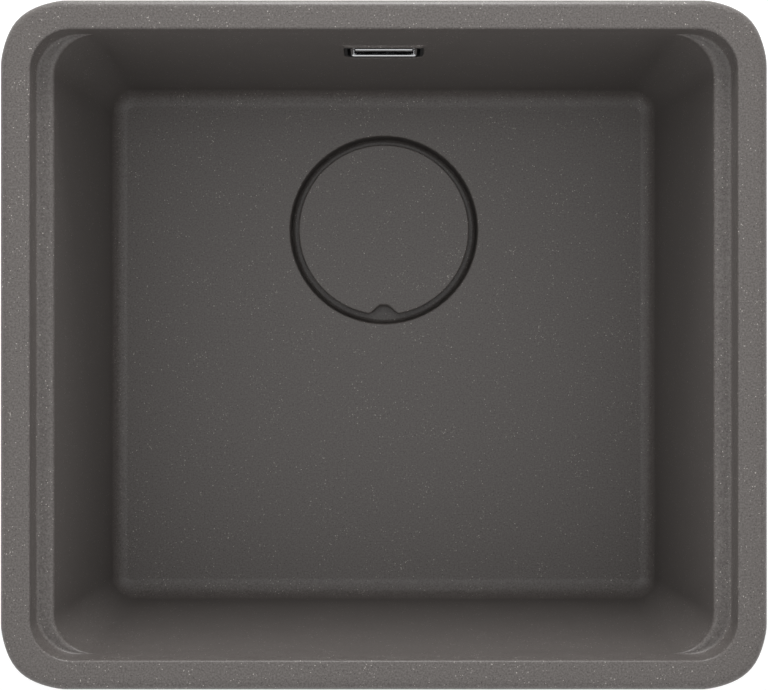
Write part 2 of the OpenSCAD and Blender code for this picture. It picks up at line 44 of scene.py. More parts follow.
# Camera: it looks straight down into the bowl from 1.1 m above the rim, with the back
# of the sink at the top of the picture.
camera = bpy.data.objects.new("camera", bpy.data.cameras.new("camera"))
camera.data.sensor_width = 36.0
camera.data.lens = 86.6
camera.location = (0.0001, -0.0001, 1.1)
bpy.context.scene.collection.objects.link(camera)
bpy.context.scene.camera = camera


# Bowl: one casting of quartz sand bound with acrylic resin. The mould leaves drafted
# walls, a ledge along the left and right walls, a thick rim, a round recess for the
# waste and, in the back wall, a hole with a small brow over it.
DRAFT = math.tan(math.radians(3.0))
# Half width, half depth and corner radius
RIM = (229.0, 206.0, 38.0)
MOUTH_TOP = (210.9, 188.15, 24.5)
MOUTH = (210.6, 188.5, 26.5)
# Centres of the bowl's corner circles, and their radius
BOWL_CORNER = (173.4, 162.0)
BOWL_RADIUS = 26.5
# How much further in the front and back walls stand, and how much squarer the rim's
# corners are than circles
FRONT_INSET, BACK_INSET = 1.3, 0.3
SQUARER = 0.45
WALL_THICKNESS = 9.0
FLOOR = -200.0
UNDERSIDE = -210.0
LEDGE = -15.0
RIM_UNDERSIDE = -24.0
DRAIN = np.array((0.0, 81.0))
OVERFLOW = -68.5
# Half width, half height and corner radius
OVERFLOW_HOLE = (25.0, 17.0, 8.0)
OVERFLOW_PAD = (36.0, 26.0, 8.0)
PAD_FACE = 195.87
# Steps of the mesh round the bowl: each corner, each side wall, the front wall, and the
# back wall left and right of the window in which the overflow hole lies.
CORNER_STEPS, SIDE_STEPS, FRONT_STEPS, BACK_STEPS = 24, 82, 60, 21
WINDOW_HALF, WINDOW_STEP = 44.0, 2.0


def reach(origin, direction, half_w, half_d, corner):
    """Distance along each ray to a rounded rectangle round zero. The rectangle is its own
    mirror image, so all rays turn into the first quarter. There a ray meets the side
    x = half_w or y = half_d if that point lies before the corner's circle, and otherwise
    the circle, where |origin + t direction - centre| = corner."""
    o, n = np.abs(origin), np.abs(direction)
    centre = np.stack(np.broadcast_arrays(half_w - corner, half_d - corner), -1)
    with np.errstate(divide="ignore", invalid="ignore"):
        to_x = (half_w - o[:, 0]) / n[:, 0]
        to_y = (half_d - o[:, 1]) / n[:, 1]
        on_x = o[:, 1] + to_x * n[:, 1] <= half_d - corner
        on_y = o[:, 0] + to_y * n[:, 0] <= half_w - corner
    offset = o - centre
    along = (offset * n).sum(-1)
    to_arc = -along + np.sqrt(
        np.maximum(along**2 - (offset**2).sum(-1) + corner**2, 0.0)
    )
    return np.where(on_x, to_x, np.where(on_y, to_y, to_arc))


def rays_round(cx, cy, back):
    """Origins on the rectangle of the bowl's corner centres, and the outward directions
    square to it: one run along each side, and a fan of 90 degrees at each corner. The
    back wall's origins are given."""
    side = -cy + 2 * cy * np.arange(SIDE_STEPS) / SIDE_STEPS
    front = -cx + 2 * cx * np.arange(FRONT_STEPS) / FRONT_STEPS
    fan = np.arange(CORNER_STEPS) / CORNER_STEPS * math.pi / 2
    runs = [
        (cx, side, 0.0),
        (cx, cy, fan),
        (back, cy, math.pi / 2),
        (-cx, cy, fan + math.pi / 2),
        (-cx, -side, math.pi),
        (-cx, -cy, fan + math.pi),
        (front, -cy, 1.5 * math.pi),
        (cx, -cy, fan + 1.5 * math.pi),
    ]
    x, y, angle = np.hstack([np.stack(np.broadcast_arrays(*run)) for run in runs])
    direction = np.column_stack((np.cos(angle), np.sin(angle))).round(12)
    return np.column_stack((x, y)), direction


def rounded(points, radii, steps=5):
    """A polyline whose corners are replaced by arcs. At a corner with the angle 2h
    between its sides, an arc of radius r starts r / tan(h) before the corner and its
    centre is r / sin(h) from it, on the bisector."""
    points = np.asarray(points, float)
    made = [points[:1]]
    for before, corner, after, r in zip(points, points[1:], points[2:], radii):
        a, b = before - corner, after - corner
        a, b = a / np.linalg.norm(a), b / np.linalg.norm(b)
        half = math.acos(float(np.clip(a @ b, -1, 1))) / 2
        if r == 0 or half < 1e-6 or half > math.pi / 2 - 1e-6:
            made.append(corner[None])
            continue
        middle = (a + b) / np.linalg.norm(a + b)
        centre = corner + middle * r / math.sin(half)
        sweep = (math.pi / 2 - half) * np.linspace(-1, 1, steps + 1)[:, None]
        across = a - b
        across = across / np.linalg.norm(across)
        made.append(centre + r * (across * -np.sin(sweep) - middle * np.cos(sweep)))
    made.append(points[-1:])
    return np.concatenate(made)


def smooth_step(t):
    """0 below 0, 1 above 1, and 3 t^2 - 2 t^3 between."""
    t = np.clip(t, 0.0, 1.0)
    return t * t * (3 - 2 * t)


def brow(x, z):
    """How far the wall swells into the bowl over the overflow hole: a slow ramp from the
    top, then a short lip, and back to the wall just above the hole. It fades sideways."""
    ramp = 0.45 * smooth_step((-20.0 - z) / 23.5)
    lip = 1.25 * smooth_step((-43.2 - z) / 1.7)
    back = 1 - smooth_step((-46.4 - z) / 3.2)
    return (ramp + lip) * back * smooth_step((28.0 - np.abs(x)) / 5.5)


def as_mesh(name, points, faces, sharp=35.0):
    """Puts points in millimetres and faces into a mesh in metres, merges what lies in
    one place, turns the faces outwards and marks edges that bend by more than sharp."""
    mesh = bpy.data.meshes.new(name)
    mesh.from_pydata((points / 1000.0).reshape(-1, 3).tolist(), [], faces.tolist())
    work = bmesh.new()
    work.from_mesh(mesh)
    bmesh.ops.remove_doubles(work, verts=work.verts, dist=2e-6)
    bare = [e for e in work.edges if not e.link_faces]
    bmesh.ops.delete(work, geom=bare, context="EDGES")
    loose = [v for v in work.verts if not v.link_faces]
    bmesh.ops.delete(work, geom=loose, context="VERTS")
    bmesh.ops.recalc_face_normals(work, faces=work.faces)
    work.to_mesh(mesh)
    work.free()
    mesh.shade_smooth()
    mesh.set_sharp_from_angle(angle=math.radians(sharp))
    made = bpy.data.objects.new(name, mesh)
    bpy.context.scene.collection.objects.link(made)
    return made


def grid_faces(rows, columns, first=0, close_rows=True):
    """Quads of a grid of points that closes round its columns, and round its rows too."""
    i, j = np.meshgrid(
        np.arange(rows if close_rows else rows - 1), np.arange(columns), indexing="ij"
    )
    down, right = (i + 1) % rows, (j + 1) % columns
    corners = (i, j), (i, right), (down, right), (down, j)
    return first + np.stack([a * columns + b for a, b in corners], -1).reshape(-1, 4)


wide = round(2 * WINDOW_HALF / WINDOW_STEP)
beside = np.linspace(BOWL_CORNER[0], WINDOW_HALF, BACK_STEPS + 1)
back_wall = np.concatenate(
    (beside[:-1], np.linspace(WINDOW_HALF, -WINDOW_HALF, wide + 1), -beside[-2:0:-1])
)
base, out = rays_round(*BOWL_CORNER, back_wall)
columns = len(base)
first_back = SIDE_STEPS + CORNER_STEPS + BACK_STEPS
above_window = [-20.0, -24.0, -28.0, -31.0]
window_rows = np.arange(-34.0, -101.0, -WINDOW_STEP)
# A quarter circle of radius r leaves its first side by r * leaving and nears its second,
# which is r away at the start, to r * nearing.
quarter = np.linspace(0, math.pi / 2, 6)[:, None]
leaving, nearing = 1 - np.cos(quarter), 1 - np.sin(quarter)


def on_rays(distance, z):
    """Rings of points on the bowl's rays: a ring for each row of distances."""
    distance, z = np.broadcast_arrays(distance, z)
    spread = np.broadcast_to(distance, (len(distance), columns))
    xy = base + spread[..., None] * out
    return np.dstack((xy, np.broadcast_to(z, spread.shape)))


frontwards, backwards = np.maximum(-out[:, 1], 0), np.maximum(out[:, 1], 0)
inset = FRONT_INSET * frontwards**2 + BACK_INSET * backwards**2


def outline(size, grow, z):
    """Where the rays meet a rounded rectangle, grown all round and drafted to height z."""
    grow = grow + DRAFT * z
    return reach(base, out, size[0] + grow, size[1] + grow, size[2] + grow)


def between(a, b, steps):
    """Rings that part the straight lines from ring a to ring b into equal steps."""
    return a + (b - a) * np.linspace(0, 1, steps + 1)[1:-1, None, None]


# The inner skin, from the rim's rounded inner edge down to the floor.
edge_r = 1.2
mouth_z = np.concatenate((-edge_r * leaving, [[-5.0], [-9.0]]))
mouth_grow = np.concatenate((edge_r * nearing, [[0.0], [0.0]]))
mouth_t = outline(MOUTH_TOP, mouth_grow, mouth_z) - inset * mouth_z / LEDGE
mouth = on_rays(mouth_t, mouth_z)

# The ledge's fillet and lip shrink with its width and vanish on the front and back
# walls, where mouth and bowl are one wall.
bowl_t = BOWL_RADIUS + DRAFT * LEDGE - inset
width = np.maximum(outline(MOUTH, 0.0, LEDGE) - inset - bowl_t, 0.0)
full_width = 5.5
share = np.clip(width / full_width, 0.0, 1.0)
inner_r, lip_r = 2.0 * share, 2.5 * share
fillet_t = bowl_t + width - inner_r * leaving
lip_t = bowl_t + lip_r * nearing
ledge = np.concatenate(
    (
        on_rays(fillet_t, LEDGE + inner_r * nearing),
        on_rays((fillet_t[-1:] * 2 + lip_t[:1]) / 3, LEDGE),
        on_rays((fillet_t[-1:] + lip_t[:1] * 2) / 3, LEDGE),
        on_rays(lip_t, LEDGE - lip_r * leaving),
    )
)

wall_z = np.concatenate((above_window, window_rows, np.arange(-107, -184, -8)))[:, None]
inner_wall = on_rays(BOWL_RADIUS + DRAFT * wall_z - inset, wall_z)

# A fillet of radius r between floor and a wall that leans by 3 degrees starts
# r tan(43.5 degrees) from the line where the two planes meet.
turn = np.radians(np.linspace(-3, -90, 10))[:, None]
foot_share = math.tan(math.radians(43.5))
inner_foot_r = 10.0 + 2.7 * inset
inner_foot_t = BOWL_RADIUS + DRAFT * FLOOR - inset - inner_foot_r * foot_share
inner_foot = on_rays(
    inner_foot_t + inner_foot_r * np.cos(turn),
    FLOOR + inner_foot_r + inner_foot_r * np.sin(turn),
)

# The floor runs to the drain recess, which goes through and comes back as the boss
# under the floor.
recess = rounded(
    [(72, -200), (66, -200), (64.9, -215), (45, -215), (45, -225), (78, -225),
     (78, -210), (84, -210)],
    [1.2, 2.6, 1.0, 1.0, 2.5, 3.0],
)
floor_edge = inner_foot[-1]
bearing = np.arctan2(floor_edge[:, 1] - DRAIN[1], floor_edge[:, 0] - DRAIN[0])
spokes = np.column_stack((np.cos(bearing), np.sin(bearing)))
drain_rings = np.dstack(
    (
        DRAIN + recess[:, 0, None, None] * spokes,
        np.broadcast_to(recess[:, 1, None], (len(recess), columns)),
    )
)
floor = between(floor_edge, drain_rings[0], 13)

outer_foot_r = 19.0
outer_radius = BOWL_RADIUS + WALL_THICKNESS
outer_foot_t = outer_radius + DRAFT * UNDERSIDE - outer_foot_r * foot_share
outer_foot = on_rays(
    outer_foot_t + outer_foot_r * np.cos(turn[::-1]),
    UNDERSIDE + outer_foot_r + outer_foot_r * np.sin(turn[::-1]),
)
underside = between(drain_rings[-1], outer_foot[0], 8)

below_window = np.arange(-187, -106, 8)
outer_z = np.concatenate((below_window, window_rows[::-1], [-31]))[:, None]
outer_wall = on_rays(outer_radius + DRAFT * outer_z, outer_z)
root_r = 4.0
root_t = outer_radius + DRAFT * (RIM_UNDERSIDE - root_r)
root = on_rays(root_t + root_r * leaving, RIM_UNDERSIDE - root_r + root_r * np.sin(quarter))


def rim_at(depth):
    """Where the rays meet the rim's outline, moved inwards by depth. Its corners are a
    little squarer than circles: over a corner's angle a, it moves by -SQUARER sin(6 a)."""
    t = reach(base, out, RIM[0] - depth, RIM[1] - depth, RIM[2] - depth)
    past = np.abs(base + t[..., None] * out) - (RIM[0] - RIM[2], RIM[1] - RIM[2])
    past = np.maximum(past, 0.0)
    return t - SQUARER * np.sin(6 * np.arctan2(past[..., 1], past[..., 0]))


low_r, top_r = 1.5, 5.0
rim_low = on_rays(rim_at(low_r * nearing), RIM_UNDERSIDE + low_r * leaving)
rim_side = on_rays(rim_at(np.zeros((2, 1))), np.array([[-17.0], [-10.0]]))
rim_edge = on_rays(rim_at(top_r * leaving), -top_r * nearing)
rim_flat = between(rim_edge[-1], mouth[0], 4)
rim_under = between(root[-1], rim_low[0], 3)

before_wall = np.concatenate(
    (mouth, ledge, inner_wall, inner_foot, floor, drain_rings, underside, outer_foot)
)
rings = np.concatenate(
    (before_wall, outer_wall, root, rim_under, rim_low, rim_side, rim_edge, rim_flat)
)
inner_first = len(mouth) + len(ledge) + len(above_window)
outer_last = len(before_wall) + len(below_window) + len(window_rows) - 1
# The brow belongs to the back wall alone, which lies more than 170 mm behind the middle.
upper = rings[:inner_first + len(window_rows)]
upper[..., 1] -= brow(upper[..., 0], upper[..., 2]) * (upper[..., 1] > 170)

# The overflow hole: the same window is left out of both skins, and rings lead from one
# window's edge to the hole, through the wall, round the pad and to the other window.
deep = len(window_rows) - 1
loop_row = np.concatenate(
    (np.zeros(wide), np.arange(deep), np.full(wide, deep), np.arange(deep, 0, -1))
).astype(int)
loop_column = np.concatenate(
    (np.arange(wide), np.full(deep, wide), np.arange(wide, 0, -1), np.zeros(deep))
).astype(int)
window_x = WINDOW_HALF - WINDOW_STEP * loop_column
window_z = window_rows[loop_row] - OVERFLOW
window_t = np.hypot(window_x, window_z)
aim = np.column_stack((window_x, window_z)) / window_t[:, None]
centre = np.zeros_like(aim)


def hole_at(size, grow):
    """Distance from the hole's middle to a rounded rectangle in the wall's plane."""
    return reach(centre, aim, size[0] + grow, size[1] + grow, size[2] + grow)


def upright(distance, y):
    """Rings in the back wall's plane at the depth y, a number or a function of x and z."""
    x = distance * aim[:, 0]
    z = OVERFLOW + distance * aim[:, 1]
    depth = y(x, z) if callable(y) else np.broadcast_to(y, x.shape)
    return np.dstack((x, depth, z))


def inner_face(x, z):
    """The wall's inner face: a drafted plane, less the brow."""
    return MOUTH[1] - BACK_INSET + DRAFT * z - brow(x, z)


def outer_face(x, z):
    """The wall's outer face: the same plane, one wall thickness further out."""
    return MOUTH[1] + WALL_THICKNESS + DRAFT * z


hole_edge = hole_at(OVERFLOW_HOLE, edge_r)
shares = np.linspace(0, 1, 33)[1:, None]
approach = upright(window_t + (hole_edge - window_t) * shares, inner_face)
rounding = upright(
    hole_at(OVERFLOW_HOLE, edge_r * nearing[1:]),
    lambda x, z: inner_face(x, z) + edge_r * leaving[1:],
)
bore = upright(
    hole_at(OVERFLOW_HOLE, np.array([[0.0], [0.0], [0.3], [0.8]])),
    np.array([[190.0], [PAD_FACE - 0.8], [PAD_FACE - 0.3], [PAD_FACE]]),
)
pad_r = 0.5
pad_edge = upright(
    hole_at(OVERFLOW_PAD, -pad_r + pad_r * np.sin(quarter)), PAD_FACE - pad_r * leaving
)
pad_out = hole_at(OVERFLOW_PAD, np.array([[0.0]]))
shares = np.linspace(0, 1, 9)[:-1, None]
leave = upright(pad_out + (window_t - pad_out) * shares, outer_face)
tunnel = np.concatenate((approach, rounding, bore, pad_edge, leave))

window_inner = (inner_first + loop_row) * columns + first_back + loop_column
window_outer = (outer_last - loop_row) * columns + first_back + loop_column
ring_count, around = len(rings) * columns, len(window_t)
tunnel_ids = ring_count + np.arange(tunnel.size // 3).reshape(-1, around)
ids = np.vstack((window_inner, tunnel_ids, window_outer))
tunnel_faces = np.stack(
    (ids[:-1], np.roll(ids[:-1], -1, 1), np.roll(ids[1:], -1, 1), ids[1:]), -1
).reshape(-1, 4)
skin_faces = grid_faces(len(rings), columns).reshape(len(rings), columns, 4)
keep = np.ones(skin_faces.shape[:2], bool)
keep[inner_first:inner_first + deep, first_back:first_back + wide] = False
keep[outer_last - deep:outer_last, first_back:first_back + wide] = False
bowl = as_mesh(
    "granite_bowl",
    np.concatenate((rings.reshape(-1, 3), tunnel.reshape(-1, 3))),
    np.concatenate((skin_faces[keep], tunnel_faces)),
)


def surface(name, points, close_rows=True, sharp=35.0):
    """A grid of points as a closed shape: every row is a ring, and the rows close on
    themselves or end in a point."""
    faces = grid_faces(*points.shape[:2], close_rows=close_rows)
    return as_mesh(name, points, faces, sharp)


def full_turn(sides):
    """Equal angles round a circle."""
    return np.arange(sides) / sides * 2 * math.pi


def turned(name, profile, axis=tuple(DRAIN), sides=96, close=False, lying=False):
    """A turned shape: each (radius, height) of the profile runs round an axis. The axis
    stands at (x, y), or lies front to back at (x, z) with y as the height. A row of radii
    may also be given for each height. A profile that starts and ends on the axis is
    closed there, and others close on themselves."""
    angle = full_turn(sides)
    if isinstance(profile, tuple):
        radius, height = profile
    else:
        profile = np.asarray(profile, float)
        radius, height = profile[:, :1], profile[:, 1:]
    first = axis[0] + radius * np.cos(angle)
    second = axis[1] + radius * np.sin(angle)
    height = np.broadcast_to(height, first.shape)
    points = np.dstack((first, height, second) if lying else (first, second, height))
    return surface(name, points, close)


# Holes for the brass inserts are cut into the rim's underside.
INSERTS = [(x, y) for x in (-220.25, 220.25) for y in (-120.0, 0.0, 120.0)]
drills = [
    turned("drill", [(0, -27), (4.0, -27), (4.0, -11), (0, -11)], spot, sides=32)
    for spot in INSERTS
]
for drill in drills:
    cut = bowl.modifiers.new("insert_hole", "BOOLEAN")
    cut.operation = "DIFFERENCE"
    cut.solver = "EXACT"
    cut.object = drill
bpy.context.view_layer.update()
drilled = bpy.data.meshes.new_from_object(
    bowl.evaluated_get(bpy.context.evaluated_depsgraph_get())
)
bowl.modifiers.clear()
bowl.data = drilled
for drill in drills:
    bpy.data.objects.remove(drill)


def linear(code):
    """An sRGB hex colour as linear red, green, blue and alpha. Each part c is c / 12.92
    up to 0.04045 and ((c + 0.055) / 1.055) ^ 2.4 above."""
    parts = [int(code[i:i + 2], 16) / 255 for i in (1, 3, 5)]
    flat = [c / 12.92 if c <= 0.04045 else ((c + 0.055) / 1.055) ** 2.4 for c in parts]
    return flat + [1.0]


def add(tree, kind, settings=None, links=None):
    """Adds a shader node. A setting or link is named by the node's own property or input,
    or by the input's number. A link comes from an output, or from a node's first one."""
    made = tree.nodes.new("ShaderNode" + kind)
    for key, value in (settings or {}).items():
        if isinstance(key, int) or key in made.inputs:
            made.inputs[key].default_value = value
        else:
            setattr(made, key, value)
    for key, source in (links or {}).items():
        whole_node = isinstance(source, bpy.types.Node)
        tree.links.new(source.outputs[0] if whole_node else source, made.inputs[key])
    return made


def finish_named(name):
    """A new material, and its emptied tree."""
    material = bpy.data.materials.new(name)
    material.use_nodes = True
    material.node_tree.nodes.clear()
    return material, material.node_tree


# Moulded quartz composite: dark warm grey resin full of fine sand, with a dull sheen,
# pale grains that lie in loose clusters and single dark ones. The mottling has a pitch of
# 1.1 mm and the clusters one of 18 mm. Each cell of 1.25 mm may hold a grain of 0.4 to
# 0.75 mm, about twice the real ones, to show.
granite, tree = finish_named("moulded_quartz_composite")
place = add(tree, "TexCoord").outputs["Object"]
mottle = add(
    tree, "TexNoise", {"Scale": 900.0, "Detail": 3.0, "Roughness": 0.6}, {"Vector": place}
)
sand = add(tree, "ValToRGB", links={"Fac": mottle.outputs["Fac"]})
sand.color_ramp.elements[0].position = 0.36
sand.color_ramp.elements[0].color = linear("#554F4D")
sand.color_ramp.elements[1].position = 0.64
sand.color_ramp.elements[1].color = linear("#6E6A67")
cloud = add(
    tree, "TexNoise", {"Scale": 55.0, "Detail": 2.0, "Roughness": 0.5}, {"Vector": place}
)
density = add(
    tree, "MapRange",
    {"From Min": 0.44, "From Max": 0.68, "To Min": 0.05, "To Max": 0.45},
    {"Value": cloud.outputs["Fac"]},
)
grains = add(tree, "TexVoronoi", {"Scale": 800.0, "Randomness": 1.0}, {"Vector": place})
# A cell's own colour follows from its grain's place in the cell, and would gather the
# pale grains into bands on the leaning walls, so each cell draws again.
drawing = add(tree, "TexWhiteNoise", links={"Vector": grains.outputs["Color"]})
chance = add(tree, "SeparateColor", links={"Color": drawing.outputs["Color"]})
grain_size = add(
    tree, "MapRange", {"To Min": 0.16, "To Max": 0.3}, {"Value": chance.outputs["Green"]}
)
in_grain = add(
    tree, "Math", {"operation": "LESS_THAN"},
    {0: grains.outputs["Distance"], 1: grain_size},
)
drawn = add(tree, "Math", {"operation": "ADD"}, {0: chance.outputs["Red"], 1: density})
is_pale = add(tree, "Math", {"operation": "GREATER_THAN", 1: 1.0}, {0: drawn})
is_dark = add(tree, "Math", {"operation": "LESS_THAN", 1: 0.12}, {0: chance.outputs["Red"]})
pale_share = add(tree, "Math", {"operation": "MULTIPLY"}, {0: in_grain, 1: is_pale})
pale_depth = add(
    tree, "Math", {"operation": "MULTIPLY"}, {0: pale_share, 1: chance.outputs["Blue"]}
)
dark_share = add(tree, "Math", {"operation": "MULTIPLY"}, {0: in_grain, 1: is_dark})
speckled = add(
    tree, "Mix", {"data_type": "RGBA", 7: linear("#C4BEB8")},
    {0: pale_depth, 6: sand.outputs["Color"]},
)
stone = add(
    tree, "Mix", {"data_type": "RGBA", 7: linear("#3D3938")},
    {0: dark_share, 6: speckled.outputs[2]},
)
matte = add(
    tree, "MapRange",
    {"From Min": 0.3, "From Max": 0.7, "To Min": 0.36, "To Max": 0.46},
    {"Value": mottle.outputs["Fac"]},
)
pores = add(
    tree, "Bump", {"Strength": 0.22, "Distance": 0.00012},
    {"Height": mottle.outputs["Fac"]},
)
cast = add(
    tree, "BsdfPrincipled", {"IOR": 1.5},
    {"Base Color": stone.outputs[2], "Roughness": matte, "Normal": pores},
)
add(tree, "OutputMaterial", links={"Surface": cast})


def dress(piece, material, body, slot, *nodes):
    """Gives a finished piece its material and body, and hides the CAD nodes it stands for.
    Its normals follow its largest faces, so that flat ones stay flat up to their edges. The
    slot is not used."""
    piece.data.materials.clear()
    piece.data.materials.append(material)
    piece.modifiers.new("normals", "WEIGHTED_NORMAL").keep_sharp = True
    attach(piece, body)
    if nodes:
        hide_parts(*nodes)
    return piece


dress(bowl, granite, "sink", "granite", "bowl")


# Inserts: turned brass bushes with an M6 thread, moulded into the rim's underside for
# the screws of the worktop clips.
def plain_finish(name, scale, rough, colours, settings, bump=None, stretch=(1, 1, 1)):
    """A material whose colour and roughness run between two values with one noise on
    object coordinates. Its marks are 1000 / scale millimetres apart, less where the
    noise is stretched. bump gives a strength and a height in metres."""
    material, tree = finish_named(name)
    place = add(tree, "TexCoord").outputs["Object"]
    moved = add(tree, "Mapping", {"Scale": stretch}, {"Vector": place})
    noise = add(tree, "TexNoise", {"Scale": scale, "Detail": 3.0}, {"Vector": moved})
    grain = noise.outputs["Fac"]
    dull = add(
        tree, "MapRange",
        {"From Min": 0.3, "From Max": 0.7, "To Min": rough[0], "To Max": rough[1]},
        {"Value": grain},
    )
    tint = add(tree, "ValToRGB", links={"Fac": grain})
    for element, code in zip(tint.color_ramp.elements, colours):
        element.color = linear(code)
    links = {"Base Color": tint.outputs["Color"], "Roughness": dull}
    if bump:
        relief = {"Strength": bump[0], "Distance": bump[1]}
        links["Normal"] = add(tree, "Bump", relief, {"Height": grain})
    skin = add(tree, "BsdfPrincipled", settings, links)
    add(tree, "OutputMaterial", links={"Surface": skin})
    return material


# Turned brass: warm and half dull, with fine rings round the bush. The rings are drawn
# 0.6 mm apart, some five times as wide as the tool leaves them, to show.
brass = plain_finish(
    "turned_brass", 300.0, (0.22, 0.38), ("#B8924E", "#D3B06C"), {"Metallic": 1.0},
    stretch=(0.3, 0.3, 6.0),
)


def threaded(radius, low, high, pitch, depth):
    """Profile points of a thread: a zigzag of the given depth between two heights."""
    count = int(round((high - low) / pitch))
    height = np.linspace(low, high, 2 * count + 1)
    return np.column_stack((radius - depth * (np.arange(2 * count + 1) % 2), height))


bush = np.concatenate(
    (
        [(3.4, -24.0), (3.9, -24.0), (3.98, -23.6), (3.98, -12.4), (3.6, -12.0)],
        threaded(2.5, -23.4, -12.2, 1.0, -0.5)[::-1],
    )
)
bushes = [turned("bush", bush, spot, sides=40, close=True) for spot in INSERTS]


def joined(name, parts):
    """Joins several meshes into one piece."""
    with bpy.context.temp_override(
        active_object=parts[0], selected_objects=parts, selected_editable_objects=parts
    ):
        bpy.ops.object.join()
    parts[0].name = name
    return parts[0]


dress(joined("brass_inserts", bushes), brass, "sink", "brass", "fixing_inserts")


# Waste flange: pressed and brushed stainless steel, deep drawn into a cup with a
# raised bead and a seat, with the hub for the centre screw on four arms.

# Brushed stainless steel: a grey metal with a soft sheen across level brush marks, which
# are drawn 0.3 mm apart, as coarse as they need to show.
steel = plain_finish(
    "brushed_stainless_steel", 260.0, (0.24, 0.36), ("#C4C3BF", "#D6D5D1"),
    {"Metallic": 1.0, "Anisotropic": 0.3}, bump=(0.15, 0.00003), stretch=(1.0, 1.0, 14.0),
)

outside = rounded(
    [(42.0, -212.9), (43.0, -212.3), (52.0, -212.3), (52.0, -213.5), (43.2, -213.5),
     (43.2, -255.2), (28.2, -255.2), (28.2, -268.0), (27.0, -268.0), (27.0, -254.0),
     (42.0, -254.0), (42.0, -213.5)],
    [0.6, 0.5, 0.5, 0.6, 2.4, 1.2, 0.3, 0.3, 0.9, 1.8],
)
flange = turned("waste_cup", outside, close=True)
hub = turned(
    "hub",
    rounded(
        [(3.1, -268), (8.0, -268), (8.0, -255), (6.3, -255), (6.3, -265), (3.1, -265)],
        [0.6, 0.5, 0.4, 0.4],
    ),
    sides=48, close=True,
)


def arms(name, count, first, inner, outer, low, high, half, round_r):
    """Straight arms between a hub and a wall, at equal turns: a box along the arm whose
    section is a rounded rectangle, turned about the upright axis of the drain."""
    section = rounded(
        [(0, low), (half, low), (half, high), (-half, high), (-half, low), (0, low)],
        [round_r] * 4, 3,
    )[:-1]
    ends = np.array([inner, inner, outer, outer])
    scale = np.array([0.0, 1.0, 1.0, 0.0])
    middle = np.array([0.0, (low + high) / 2])
    ring = middle + (section - middle) * scale[:, None, None]
    points, faces = [], []
    for k in range(count):
        a = first + 2 * math.pi * k / count
        along = np.array((math.cos(a), math.sin(a)))
        across = np.array((-math.sin(a), math.cos(a)))
        xy = DRAIN + ends[:, None, None] * along + ring[..., :1] * across
        points.append(np.dstack((xy, ring[..., 1])).reshape(-1, 3))
        faces.append(grid_faces(4, len(section), k * 4 * len(section), close_rows=False))
    return as_mesh(name, np.concatenate(points), np.concatenate(faces))


flange_arms = arms("flange_arms", 4, math.pi / 4, 7.4, 27.6, -268, -263, 2.0, 0.6)
dress(
    joined("steel_waste_flange", [flange, hub, flange_arms]),
    steel, "sink", "steel", "waste_flange",
)


# Gaskets, seal and feet: black rubber pressed in a mould, flat rings between the hard
# pieces, the stopper under the basket and the feet under the cover.

# Moulded rubber: slightly dusty and almost without a sheen, with a grain of 1.1 mm.
rubber = plain_finish(
    "moulded_rubber", 900.0, (0.55, 0.75), ("#2A2A2A", "#353534"), {"IOR": 1.52},
    bump=(0.1, 0.00005),
)


def washer(name, inner, outer, low, high, axis=tuple(DRAIN), edge=0.4, sides=96):
    """A flat ring with rounded edges."""
    profile = rounded(
        [(inner, (low + high) / 2), (inner, high), (outer, high), (outer, low),
         (inner, low), (inner, (low + high) / 2)],
        [edge] * 4, 3,
    )[:-1]
    return turned(name, profile, axis, sides, close=True)


dress(
    washer("rubber_flange_gasket", 45.0, 51.0, -215.0, -213.5),
    rubber, "sink", "rubber", "flange_gasket",
)
dress(
    washer("rubber_body_gasket", 45.05, 54.0, -228.0, -225.0),
    rubber, "sink", "rubber", "body_gasket",
)
dress(
    turned(
        "rubber_basket_seal",
        rounded(
            [(3.5, -254), (27.5, -254), (32, -251.6), (32, -249), (3.5, -249), (3.5, -254)],
            [0.8, 1.2, 0.8, 0.2],
        )[:-1],
        close=True,
    ),
    rubber, "basket", "rubber", "basket_seal",
)
feet_circle = 47.6
feet = [
    turned(
        "foot",
        rounded(
            [(0, -212.3), (3.0, -212.3), (3.0, -208), (1.5, -208), (1.5, -205.05),
             (0, -205.05)],
            [0.7, 0.3, 0.1, 0.4],
        ),
        DRAIN + feet_circle * np.array((math.cos(a), math.sin(a))), sides=32,
    )
    for a in np.radians((45, 135, 225, 315))
]
dress(joined("rubber_cover_feet", feet), rubber, "cover", "rubber", "cover_feet")


# Waste body: one injection moulding in light grey polypropylene, with a stiffened
# flange, a cup, a cone to the threaded tail, and the inlet for the overflow.

# Light grey polypropylene: an even, slightly waxy skin, with the mould's grain of 2 mm.
grey_plastic = plain_finish(
    "grey_polypropylene", 500.0, (0.38, 0.5), ("#B9BBBC", "#C6C8C9"), {"IOR": 1.49},
    bump=(0.06, 0.00006),
)

INLET = (0.0, -247.0)
body_profile = np.concatenate(
    (
        rounded(
            [(45, -229), (45, -228), (54, -228), (54, -233), (48, -233), (48, -258),
             (24.6, -283.2), (23.9, -284.2)],
            [0.3, 0.8, 0.8, 1.2, 3.0, 1.0],
        ),
        threaded(23.9, -306.6, -285.0, 2.31, 0.9)[::-1],
        rounded(
            [(23.2, -307.4), (22.6, -308), (20, -308), (20, -284), (45, -258.6),
             (45, -229)],
            [0.3, 0.4, 2.0, 3.0],
        ),
    )
)
cup = turned("waste_cup_body", body_profile, sides=128, close=True)
inlet = turned(
    "inlet",
    rounded(
        [(7, 140), (7, 124), (12.2, 124), (12.2, 129.5), (10, 131.5), (10, 146), (7, 146),
         (7, 140)],
        [0.4, 1.0, 1.0, 0.4, 0.4, 0.4],
    )[:-1],
    INLET, 48, close=True, lying=True,
)
body_hub = turned(
    "body_hub",
    rounded([(3.1, -282), (8.5, -282), (8.5, -272), (3.1, -272)], [0.8, 0.8]),
    sides=48, close=True,
)
